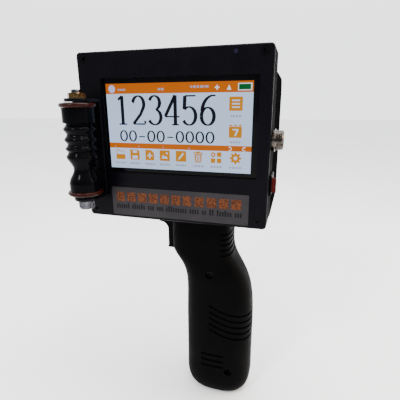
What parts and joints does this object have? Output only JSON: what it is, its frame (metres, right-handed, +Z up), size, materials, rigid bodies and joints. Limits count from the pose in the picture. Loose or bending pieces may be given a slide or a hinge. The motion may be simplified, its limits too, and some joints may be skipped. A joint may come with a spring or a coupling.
{
  "type": "handheld date code inkjet printer",
  "caption": "Pistol-grip inkjet date coder with a colour touch screen, side-facing ink cartridge, spring trigger and grooved guide rollers with rubber rings.",
  "frame": {"origin": "middle of the hand grip, where the operator's palm holds it", "axes": "+Z up, +X to the operator's right as the screen is read, +Y away from the operator; the print head faces -X"},
  "size_m": [0.136, 0.1524, 0.2693],
  "materials": {
    "case_paint": "satin black paint",
    "black_screws": "black zinc",
    "black_foam": "matte",
    "touch_glass": "gloss",
    "lcd_frame": "satin",
    "label_film": "matte film",
    "light_lens": "gloss",
    "circuit_board": "solder mask",
    "plated_steel": "zinc plated",
    "chip_plastic": "matte",
    "nickel_socket": "nickel plated",
    "socket_black": "matte",
    "gold_pins": "gold plated",
    "switch_black": "gloss",
    "rocker_red": "gloss",
    "bracket_black": "black anodised",
    "roller_black": "gloss",
    "ring_rubber": "satin rubber",
    "bush_brass": "turned",
    "magnet_black": "sintered",
    "chrome_bolt": "polished",
    "nut_brass": "satin",
    "cartridge_black": "moulded",
    "lid_green": "moulded",
    "cradle_grey": "moulded",
    "face_steel": "brushed",
    "grip_plastic": "fine texture",
    "trigger_plastic": "fine texture",
    "cell_wrap": "shrink sleeve"
  },
  "bodies": {
    "housing": {"front_panel": "case_paint", "front_frame": "case_paint", "rear_housing": "case_paint", "panel_screws": "black_screws", "case_screws": "black_screws", "window_gasket": "black_foam", "touch_panel": "touch_glass", "lcd_module": "lcd_frame", "front_label": "label_film", "status_light": "light_lens", "main_board": "circuit_board", "board_standoffs": "plated_steel", "board_parts": "chip_plastic", "buzzer": "chip_plastic", "socket_shell": "nickel_socket", "socket_insert": "socket_black", "socket_pins": "gold_pins", "socket_nut": "nickel_socket", "switch_body": "switch_black", "switch_terminals": "plated_steel", "roller_bracket_front": "bracket_black", "roller_bracket_rear": "bracket_black", "bracket_screws": "black_screws", "encoder_board": "circuit_board", "axle_bolt_front": "chrome_bolt", "axle_nut_front": "nut_brass", "axle_bolt_rear": "chrome_bolt", "axle_nut_rear": "nut_brass", "cartridge_cradle": "cradle_grey", "contact_board": "circuit_board", "contact_pins": "gold_pins", "retaining_spring": "plated_steel", "print_face_plate": "face_steel", "face_plate_screws": "black_screws", "grip_front_shell": "grip_plastic", "grip_rear_shell": "grip_plastic", "grip_screws": "black_screws", "grip_mount_screws": "plated_steel", "trigger_spring": "plated_steel", "trigger_switch": "switch_black", "battery_cells": "cell_wrap", "battery_board": "circuit_board"},
    "front_roller": {"roller_front": "roller_black", "roller_front_rings": "ring_rubber", "roller_front_bushes": "bush_brass", "encoder_magnet": "magnet_black"},
    "rear_roller": {"roller_rear": "roller_black", "roller_rear_rings": "ring_rubber", "roller_rear_bushes": "bush_brass"},
    "trigger_body": {"trigger": "trigger_plastic"},
    "rocker": {"rocker_button": "rocker_red"},
    "cartridge": {"ink_cartridge": "cartridge_black", "cartridge_lid": "lid_green", "nozzle_plate": "gold_pins"}
  },
  "joints": [
    {"name": "front_roller_spin", "type": "hinge", "parent": "housing", "child": "front_roller", "pos_m": [-0.0808, -0.055, 0.15], "axis": [0, 0, 1], "continuous": true},
    {"name": "rear_roller_spin", "type": "hinge", "parent": "housing", "child": "rear_roller", "pos_m": [-0.0808, 0.075, 0.15], "axis": [0, 0, 1], "continuous": true},
    {"name": "trigger_pull", "type": "slide", "parent": "housing", "child": "trigger_body", "axis": [1, 0, 0], "range_m": [0, 0.0035], "stiffness_N_per_m": 600, "springref_m": -0.002, "deforming": ["trigger_spring"]},
    {"name": "rocker_tilt", "type": "hinge", "parent": "housing", "child": "rocker", "pos_m": [0.037, -0.0245, 0.122], "axis": [0, 0, 1], "range_deg": [-24, 0]},
    {"name": "cartridge_slide", "type": "slide", "parent": "housing", "child": "cartridge", "axis": [-1, 0, 0], "range_m": [0, 0.082]}
  ]
}
